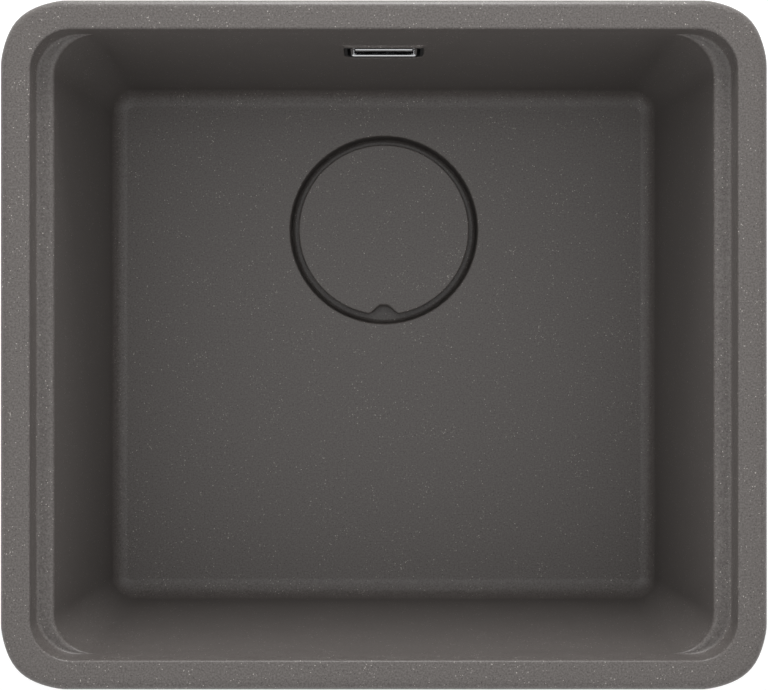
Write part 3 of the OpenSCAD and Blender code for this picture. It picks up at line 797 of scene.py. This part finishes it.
body_arms = arms("body_arms", 4, 0.0, 7.6, 32.0, -281.8, -272.4, 2.0, 0.8)
stiffeners = arms("stiffeners", 12, math.pi / 12, 47.0, 52.6, -246.0, -232.6, 1.0, 0.5)
dress(
    joined("grey_waste_body", [cup, inlet, body_hub, body_arms, stiffeners]),
    grey_plastic, "sink", "grey_plastic", "waste_body",
)


# Centre screw and nut: a steel pan-head screw with a crossed slot from the cup's hub to
# a brass nut in the body's hub, which clamps flange and body to the sink.
def pan_head(radius, height, slot_len, slot_w, sides=64):
    """A pan head's rings, with its top at zero: from 55% of its radius on it falls off by
    45% of its height, with the square of a smooth step, and inside its two crossed slots
    by 60%."""
    steps = np.linspace(0, 1, 15)[:, None]
    angle = full_turn(sides)
    x, y = radius * steps * np.cos(angle), radius * steps * np.sin(angle)
    longer, shorter = np.maximum(np.abs(x), np.abs(y)), np.minimum(np.abs(x), np.abs(y))
    slot = (longer < slot_len / 2) & (shorter < slot_w / 2)
    z = -0.45 * height * smooth_step((steps - 0.55) / 0.45) ** 2 - 0.6 * height * slot
    under = np.full((2, sides), -height)
    bottom = np.dstack((x[[-1, 0]], y[[-1, 0]], under))
    return np.concatenate((np.dstack((x, y, z)), bottom))


screw_head = surface("screw_head", pan_head(5.5, 2.8, 7.0, 1.3) + (*DRAIN, -262.2), False)
shank_profile = np.concatenate(
    (
        [(0, -264.8), (3.0, -264.8), (3.0, -268.2)],
        threaded(3.0, -282.2, -268.6, 1.0, 0.45)[::-1],
        [(2.4, -283.0), (0, -283.0)],
    )
)
shank = turned("shank", shank_profile, sides=32)
dress(
    joined("steel_centre_screw", [screw_head, shank]),
    steel, "sink", "steel", "centre_screw",
)
# The hexagon's radius is the half of its width over flats, over the cosine of the angle
# from the nearest flat's middle. The nut's rows lie in its bore or on the hexagon, which
# is 4% smaller at both ends.
nut_angle = full_turn(72)
hexagon = 5.0 / np.cos((nut_angle + math.pi / 6) % (math.pi / 3) - math.pi / 6)
nut_size = np.array([0.0, 0.96, 1.0, 1.0, 0.96, 0.0])[:, None]
nut_bore = np.array([3.05, 0.0, 0.0, 0.0, 0.0, 3.05])[:, None]
nut_height = np.array([-277.0, -277.0, -277.4, -281.6, -282.0, -282.0])[:, None]
nut_radius = nut_bore + nut_size * hexagon
dress(
    turned("brass_centre_nut", (nut_radius, nut_height), sides=72, close=True),
    brass, "sink", "brass", "centre_nut",
)


# Strainer basket: pressed stainless steel with a rolled rim, slots in its wall and
# rings of round holes in its floor. The punched sheet is the CAD node itself, whose
# triangles are welded and shaded smooth.
def soften(node, material):
    """Keeps a CAD node's own mesh and shades its curved faces smooth."""
    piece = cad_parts[node]
    piece.data.materials.clear()
    piece.data.materials.append(material)
    piece.data.shade_smooth()
    weld = piece.modifiers.new("weld", "WELD")
    weld.merge_threshold = 2e-6
    split = piece.modifiers.new("edges", "EDGE_SPLIT")
    split.split_angle = math.radians(30)


soften("strainer_basket", steel)
rolled, bead_r = np.radians(np.arange(24) * 15.0), 0.68
bead = np.column_stack((40.3 + bead_r * np.cos(rolled), -214.98 + bead_r * np.sin(rolled)))
dress(turned("steel_basket_rim", bead, close=True), steel, "basket", "steel")


# Basket stem: turned steel, a knob to lift by on a slim neck, a collar that holds the
# seal, and the pin whose clip snaps into the hub.
dress(
    turned(
        "steel_basket_stem",
        rounded(
            [(0, -211), (6.2, -211), (8, -213.2), (8, -217), (4.2, -219.4), (3.5, -221),
             (3.5, -243), (6, -244), (6, -249), (3.5, -249.2), (3.5, -254), (2.5, -254),
             (2.5, -260.8), (2.0, -261.4), (0, -261.4)],
            [1.6, 1.2, 0.9, 1.2, 1.2, 0.6, 0.5, 0.5, 0.1, 0.1, 0.1, 0.2, 0.2],
        ),
        sides=64,
    ),
    steel, "basket", "steel", "basket_stem",
)
soften("basket_clip", steel)


# Drain cover: a disc of the same composite as the bowl, level with its floor, with
# eased edges and, at the front, a bell-shaped finger notch whose wall is drafted.
COVER_R, NOTCH_HALF, NOTCH_DEPTH, NOTCH_FLAT = 60.0, 11.25, 7.1, 1.5
notch_angle = math.asin(NOTCH_HALF / COVER_R)
notch_start, notch_end = -math.pi / 2 - notch_angle, -math.pi / 2 + notch_angle
cover_angle = np.concatenate(
    (
        np.linspace(notch_start, notch_end, 61)[:-1],
        np.linspace(notch_end, 1.5 * math.pi - notch_angle, 301)[:-1],
    )
)
cover_x, cover_y = COVER_R * np.cos(cover_angle), COVER_R * np.sin(cover_angle)
bell = smooth_step((NOTCH_HALF - np.abs(cover_x)) / (NOTCH_HALF - NOTCH_FLAT))
bell = bell * (cover_y < 0)
cover_outline = np.column_stack((cover_x, cover_y + NOTCH_DEPTH * bell))
tangent = np.roll(cover_outline, -1, 0) - np.roll(cover_outline, 1, 0)
tangent /= np.linalg.norm(tangent, axis=1)[:, None]
inward = np.column_stack((-tangent[:, 1], tangent[:, 0]))
cover_steps = rounded(
    [(1.3, -200.0), (0.0, -200.0), (0.0, -208.0), (1.3, -208.0)], [1.2, 0.7], 6
)
# Towards its foot the notch's wall comes 1 mm forward.
cover_height = cover_steps[:, 1:]
forward = np.clip((-200.5 - cover_height) / 7.0, 0, 1) * bell
cover_rings = np.dstack(
    (
        DRAIN + cover_outline + cover_steps[:, :1, None] * inward
        - forward[..., None] * np.array((0.0, 1.0)),
        cover_height + 0 * forward,
    )
)
# Both faces are rings about a point a little behind the middle, away from the notch.
top_middle = np.array((0.0, 83.0, -200.0)) + 0 * cover_rings[:1]
bottom_middle = np.array((0.0, 83.0, -208.0)) + 0 * cover_rings[:1]
top = between(top_middle, cover_rings[0], 7)
bottom = between(cover_rings[-1], bottom_middle, 5)
cover_rings = np.concatenate((top_middle, top, cover_rings, bottom, bottom_middle))
dress(
    surface("granite_drain_cover", cover_rings, False),
    granite, "cover", "granite", "drain_cover",
)


# Overflow trim: a die-cast zinc frame with polished chrome plate. It leans with the
# wall, and its sides lie behind its two round-edged bars. Two lugs grip the sleeve.

# Polished chrome plate: a bright, slightly blue mirror. Its wear is a faint cloudiness
# of 2.5 mm.
chrome = plain_finish(
    "polished_chrome", 400.0, (0.05, 0.11), ("#CFD0D2", "#DADBDD"), {"Metallic": 1.0}
)
WALL_FACE = 184.91
TRIM_BACK = WALL_FACE + 3.0
SIDES_BACK = TRIM_BACK - 0.1
BAR_IN, BAR_EDGE = 7.7, 0.9


def grown(half_w, half_h, corner, profile):
    """Rows (half width, half height, corner radius, y) of a rounded rectangle grown by
    the first value of each profile point, at the y of the second. Its corners keep a
    radius of 0.05 or more."""
    grow, y = np.asarray(profile, float).T
    return np.column_stack(
        (half_w + grow, half_h + grow, np.maximum(corner + grow, 0.05), y)
    )


def set_in_wall(name, rows, place=None):
    """A shape round an axis through the back wall: each row is a rounded rectangle about
    that axis, met by the same rays as the overflow hole. place gives the final y of a
    point from its row's y and its height."""
    half_w, half_h, corner, y = np.concatenate(rows).T[..., None]
    distance = reach(centre, aim, half_w, half_h, corner)
    x, z = distance * aim[:, 0], OVERFLOW + distance * aim[:, 1]
    y = place(y, z) if place else np.broadcast_to(y, z.shape)
    return surface(name, np.dstack((x, y, z)))


def lean_with_wall(y, z):
    """The wall's draft moves a point by its tangent times the height over the middle."""
    return y + DRAFT * (z - OVERFLOW)


def trim_bar(name, side, half, out, proud, end_r):
    """The upper (side 1) or lower (side -1) bar from -half to half: at each x, a section
    as high as the bar's outline there, with round edges and a slightly thicker back. Its
    front turns back at both ends with the radius end_r."""
    inner_r, thicker = 0.5, 0.06
    x = half * np.sin(np.linspace(-math.pi / 2, math.pi / 2, 81))[:, None]
    corner = min(end_r, out - BAR_IN - 0.6)
    in_corner = np.maximum(np.abs(x) - half + corner, 0)
    in_small = np.maximum(np.abs(x) - half + inner_r, 0)
    at_end = np.maximum(np.abs(x) - half + end_r, 0)
    high = out - corner + np.sqrt(corner**2 - in_corner**2)
    low = BAR_IN + inner_r - np.sqrt(inner_r**2 - in_small**2)
    rise = (high - low) / 2
    front = WALL_FACE - proud + (end_r - np.sqrt(end_r**2 - at_end**2))
    r = np.minimum(BAR_EDGE, rise)
    bend = np.linspace(0, math.pi / 2, 9)[None]
    depth = np.hstack((0 * x + TRIM_BACK, front + r * (1 - np.sin(bend))))
    rise = np.hstack((rise + thicker, rise - r * (1 - np.cos(bend))))
    y = np.hstack((depth, depth[:, ::-1]))
    z = OVERFLOW + side * ((high + low) / 2 + np.hstack((-rise, rise[:, ::-1])))
    points = np.dstack((np.broadcast_to(x, y.shape), lean_with_wall(y, z), z))
    middles = points.mean(1, keepdims=True) + 0 * points
    return surface(name, np.concatenate((middles[:1], points, middles[-1:])), False)


upper_bar = trim_bar("upper_bar", 1, 18.4, 11.5, 1.25, 1.0)
lower_bar = trim_bar("lower_bar", -1, 21.0, 9.9, 0.95, 2.0)
trim_sides = set_in_wall(
    "trim_sides",
    [
        grown(21.05, 11.35, 3.15, rounded(
            [(-1.2, WALL_FACE), (0, WALL_FACE), (0, SIDES_BACK), (-1.2, SIDES_BACK)],
            [0.8, 0.3])),
        grown(18.7, 7.85, 2.0, rounded(
            [(1.1, SIDES_BACK), (0, SIDES_BACK), (0, WALL_FACE), (1.1, WALL_FACE)],
            [0.3, 0.8])),
    ],
    lean_with_wall,
)


def block(name, x, y, z, r=0.4):
    """A box from the first to the second x, y and z, with its four edges along y eased."""
    corners = [(x[0], z[0]), (x[1], z[0]), (x[1], z[1]), (x[0], z[1])]
    section = rounded(corners + corners[:2], [r] * 4, 3)[1:-1]
    middle = np.array([(x[0] + x[1]) / 2, (z[0] + z[1]) / 2])
    ring = middle + (section - middle) * np.array([0.0, 1.0, 1.0, 0.0])[:, None, None]
    depth = np.array([y[0], y[0], y[1], y[1]])[:, None] + 0 * ring[..., 0]
    return surface(name, np.dstack((ring[..., 0], depth, ring[..., 1])), False)


lugs = [
    block("trim_lug", sorted((side * 20.2, side * 22.9)), (WALL_FACE + 2.4, PAD_FACE),
          (OVERFLOW - 3.5, OVERFLOW + 3.5))
    for side in (-1, 1)
]
dress(
    joined("chrome_overflow_trim", [upper_bar, lower_bar, trim_sides, *lugs]),
    chrome, "sink", "chrome", "overflow_trim",
)


# Sleeve, gasket and head of the overflow: the black polypropylene sleeve lines the hole,
# flush with the leaning wall, and is pressed into the hollow black head. The rubber
# gasket lies between head and wall.

# Black polypropylene: an even, waxy skin, with the mould's grain of 1.4 mm.
black_plastic = plain_finish(
    "black_polypropylene", 700.0, (0.38, 0.52), ("#1F1F20", "#2A2A2B"), {"IOR": 1.49},
    bump=(0.08, 0.00006),
)
GASKET_FACE = PAD_FACE + 1.5
SLEEVE_FACE = WALL_FACE + 0.15
SLEEVE_END = GASKET_FACE + 2.5
dress(
    set_in_wall(
        "black_overflow_sleeve",
        [
            grown(24.95, 16.95, 7.95, rounded(
                [(-1, SLEEVE_FACE), (0, SLEEVE_FACE), (0, SLEEVE_END), (-1, SLEEVE_END)],
                [0.4, 0.4])),
            grown(23.0, 15.0, 6.0, rounded(
                [(1, SLEEVE_END), (0, SLEEVE_END), (0, SLEEVE_FACE), (1, SLEEVE_FACE)],
                [0.4, 0.4])),
        ],
        lambda y, z: y + DRAFT * (z - OVERFLOW) * (y < SLEEVE_FACE + 1),
    ),
    black_plastic, "sink", "black_plastic", "overflow_sleeve",
)
dress(
    set_in_wall(
        "rubber_overflow_gasket",
        [
            grown(31.0, 23.0, 8.0, rounded(
                [(-2, PAD_FACE), (0, PAD_FACE), (0, GASKET_FACE), (-2, GASKET_FACE)],
                [0.4, 0.4])),
            grown(25.0, 17.0, 8.0, [(0, GASKET_FACE), (0, PAD_FACE)]),
        ],
    ),
    rubber, "sink", "rubber", "overflow_gasket",
)


HEAD_TOP, HEAD_BOTTOM = OVERFLOW + 23.0, OVERFLOW - 23.0
HEAD_SHALLOW, HEAD_DEEP, HEAD_WALL = 14.0, 22.0, 2.5
HOSE_Y = GASKET_FACE + 11.0
SPIGOT_END = HEAD_BOTTOM - 16.0


def slope_head(y, z):
    """Behind its front wall, a straight box of the bottom's depth is squeezed towards
    the wall, in proportion to the depth that runs evenly from its bottom to its top."""
    share = (HEAD_TOP - z) / (HEAD_TOP - HEAD_BOTTOM)
    depth = HEAD_SHALLOW + (HEAD_DEEP - HEAD_SHALLOW) * share
    behind = np.maximum(y - SLEEVE_END, 0)
    squeezed = behind * (depth - HEAD_WALL) / (HEAD_DEEP - HEAD_WALL)
    return np.minimum(y, SLEEVE_END) + squeezed


back = GASKET_FACE + HEAD_DEEP
inner_back = back - HEAD_WALL
shell = set_in_wall(
    "head_shell",
    [
        [(25.0, 17.0, 8.0, GASKET_FACE)],
        grown(31.0, 23.0, 4.0, rounded(
            [(-3, GASKET_FACE), (0, GASKET_FACE), (0, back), (-6, back)], [0.4, 3.0])),
        [(0, 0, 0, back), (0, 0, 0, inner_back)],
        grown(28.5, 20.5, 2.5, [(-3, inner_back), (0, inner_back), (0, SLEEVE_END)]),
        [(25.0, 17.0, 8.0, SLEEVE_END)],
    ],
    slope_head,
)
spigot = turned(
    "head_spigot",
    rounded(
        [(7, HEAD_BOTTOM), (7, HEAD_BOTTOM + 1), (10.8, HEAD_BOTTOM + 1),
         (10, HEAD_BOTTOM - 2), (10, SPIGOT_END), (7, SPIGOT_END), (7, HEAD_BOTTOM)],
        [0.1, 0.4, 0.6, 0.4, 0.4],
    )[:-1],
    (0.0, HOSE_Y), 48, close=True,
)
dress(
    joined("black_overflow_head", [shell, spigot]),
    black_plastic, "sink", "black_plastic", "overflow_head",
)


# Overflow hose: blown grey polypropylene with ring ribs between two plain cuffs. It
# hangs from the head, bends forward and meets the waste body's inlet.
HOSE_TOP, HOSE_DROP, HOSE_BEND, HOSE_RUN = SPIGOT_END - 2.0, 102.5, 35.0, 25.37
HOSE_R, HOSE_BORE, CUFF, RIB_PITCH, RIB_VALLEY = 10.0, 7.0, 9.0, 4.0, 1.4
bend_length = HOSE_BEND * math.pi / 2
hose_length = HOSE_DROP + bend_length + HOSE_RUN
run = hose_length - 2 * CUFF
ribs = int(round(run / RIB_PITCH))
chamfer = 0.3
along_hose = np.concatenate(
    (
        [0.0, chamfer],
        np.linspace(CUFF, hose_length - CUFF, 10 * ribs + 1),
        [hose_length - chamfer, hose_length],
    )
)
# The ribs follow 1 - cos of the length, raised to 0.7 to narrow the crests.
in_ribs = (along_hose >= CUFF) & (along_hose <= hose_length - CUFF)
wave = (1 - np.cos(2 * math.pi * ribs * (along_hose - CUFF) / run)) / 2
outer = HOSE_R - RIB_VALLEY * in_ribs * wave ** 0.7
outer[[0, -1]] -= chamfer
way_back = along_hose[::-4]
hose_s = np.concatenate((along_hose, way_back))
hose_radius = np.concatenate((outer, np.full(len(way_back), HOSE_BORE)))
turned_by = np.clip((hose_s - HOSE_DROP) / bend_length, 0, 1) * math.pi / 2
past_bend = np.maximum(hose_s - HOSE_DROP - bend_length, 0)
hose_middle = np.column_stack(
    (
        0 * hose_s,
        HOSE_Y - HOSE_BEND * (1 - np.cos(turned_by)) - past_bend,
        HOSE_TOP - np.minimum(hose_s, HOSE_DROP) - HOSE_BEND * np.sin(turned_by),
    )
)
hose_across = np.column_stack((0 * hose_s, np.cos(turned_by), -np.sin(turned_by)))
hose_turn = full_turn(40)[:, None]
rightwards = np.cos(hose_turn) * np.array((1.0, 0.0, 0.0))
ring_shape = rightwards + np.sin(hose_turn) * hose_across[:, None]
hose = hose_middle[:, None] + hose_radius[:, None, None] * ring_shape
dress(
    surface("grey_overflow_hose", hose, sharp=50.0),
    grey_plastic, "sink", "grey_plastic", "overflow_hose",
)


# Hose nuts and seals: moulded grey nuts with finger ribs hold the hose's ends on the
# head's spigot and the waste body's inlet, each over a flat rubber seal.
def hose_nut(name, axis, low, lying):
    """A ring whose outside is a circle with twelve ribs: the radius grows by the rib's
    height where the angle lies in a rib, and not in the chamfers at both ends."""
    sides, rib_every = 144, math.pi / 6
    rib_height, rib_half, rib_flank = 0.9, 0.115, 0.05
    from_rib = np.abs((full_turn(sides) + rib_every / 2) % rib_every - rib_every / 2)
    rib = rib_height * smooth_step((rib_half - from_rib) / rib_flank)
    base_r = np.array([10.3, 10.8, 11.8, 12.6, 12.6, 11.8, 10.8, 10.3])[:, None]
    height = low + np.array([0.5, 0.0, 0.0, 0.9, 15.1, 16.0, 16.0, 15.5])[:, None]
    ribbed = np.array([0, 0, 0.5, 1, 1, 0.5, 0, 0])[:, None]
    radius = base_r + ribbed * rib
    return turned(name, (radius, height), axis, sides, close=True, lying=lying)


dress(
    hose_nut("grey_hose_nut_upper", (0.0, HOSE_Y), HOSE_TOP - 6.0, False),
    grey_plastic, "sink", "grey_plastic", "hose_nut_upper",
)
dress(
    hose_nut("grey_hose_nut_lower", INLET, 138.0, True),
    grey_plastic, "sink", "grey_plastic", "hose_nut_lower",
)
upper_seal = washer("upper_seal", 7.0, 10.0, HOSE_TOP, SPIGOT_END, (0.0, HOSE_Y), 0.3, 48)
lower_seal = turned(
    "lower_seal", [(7, 146), (7, 148), (10, 148), (10, 146)], INLET, 48,
    close=True, lying=True,
)
dress(
    joined("rubber_hose_seals", [upper_seal, lower_seal]),
    rubber, "sink", "rubber", "hose_seals",
)


# Floor: a wide white sheet just below the tail. It takes the sink's shadow, and a
# little light of its own brings it to white for the camera and for reflections.
paper, tree = finish_named("matt_white_paper")
ray_kind = add(tree, "LightPath")
mirrored = add(
    tree, "Math", {"operation": "MAXIMUM"},
    {0: ray_kind.outputs["Is Glossy Ray"], 1: ray_kind.outputs["Is Transmission Ray"]},
)
looked_at = add(
    tree, "Math", {"operation": "MAXIMUM"},
    {0: ray_kind.outputs["Is Camera Ray"], 1: mirrored},
)
glow_share = add(tree, "Math", {"operation": "MULTIPLY", 1: 0.32}, {0: looked_at})
sheet = add(tree, "BsdfDiffuse", {"Color": linear("#F2F2F2")})
glow = add(tree, "Emission", {"Color": linear("#FFFFFF")}, {"Strength": glow_share})
lit = add(tree, "AddShader", links={0: sheet, 1: glow})
clear = add(tree, "BsdfTransparent")
geometry = add(tree, "NewGeometry")
one_sided = add(
    tree, "MixShader", links={0: geometry.outputs["Backfacing"], 1: lit, 2: clear}
)
add(tree, "OutputMaterial", links={"Surface": one_sided})
sheet_z, sheet_half = -0.3095, 4.0
floor_mesh = bpy.data.meshes.new("floor")
sheet_corners = np.array([(-1, -1, 1), (1, -1, 1), (1, 1, 1), (-1, 1, 1)])
floor_mesh.from_pydata(
    (sheet_corners * (sheet_half, sheet_half, sheet_z)).tolist(), [], [(0, 1, 2, 3)]
)
floor_sheet = bpy.data.objects.new("floor", floor_mesh)
bpy.context.scene.collection.objects.link(floor_sheet)
floor_mesh.materials.append(paper)


# Light: a white room that is a little brighter low down gives most of it, a soft lamp
# overhead and a wide one behind the sink give the rest. Together they light a level white
# sheet to 1. The camera alone sees the room as pure white.
world = bpy.data.worlds.new("room")
bpy.context.scene.world = world
world.use_nodes = True
tree = world.node_tree
tree.nodes.clear()
ray = add(tree, "TexCoord").outputs["Generated"]
upwards = add(tree, "SeparateXYZ", links={0: ray}).outputs["Z"]
room = add(
    tree, "MapRange",
    {"From Min": 0.3, "From Max": 0.8, "To Min": 0.9, "To Max": 0.7}, {"Value": upwards},
)
path = add(tree, "LightPath")
seen = add(
    tree, "Mix", {"data_type": "FLOAT", 3: 1.0},
    {0: path.outputs["Is Camera Ray"], 2: room},
)
background = add(tree, "Background", {"Color": linear("#FFFFFF")}, {"Strength": seen})
add(tree, "OutputWorld", links={"Surface": background})


def lamp(name, where, size, level):
    """A square lamp aimed at the bowl. It gives a sheet square to it, at the bowl, that
    share of white: a lamp of power P at the distance D does so with P = level pi^2 D^2."""
    data = bpy.data.lights.new(name, "AREA")
    data.shape = "SQUARE"
    data.size = size
    where, aim_at = Vector(where), Vector((0.0, 0.0, -0.1))
    data.energy = level * math.pi**2 * (where - aim_at).length_squared
    made = bpy.data.objects.new(name, data)
    made.location = where
    made.rotation_euler = (aim_at - where).to_track_quat("-Z", "Y").to_euler()
    bpy.context.scene.collection.objects.link(made)


lamp("overhead", (0.0, 0.1, 1.6), 0.9, 0.09)
lamp("behind", (0.0, 1.41, 0.38), 0.55, 0.7)
bpy.context.scene.view_settings.view_transform = "Standard"
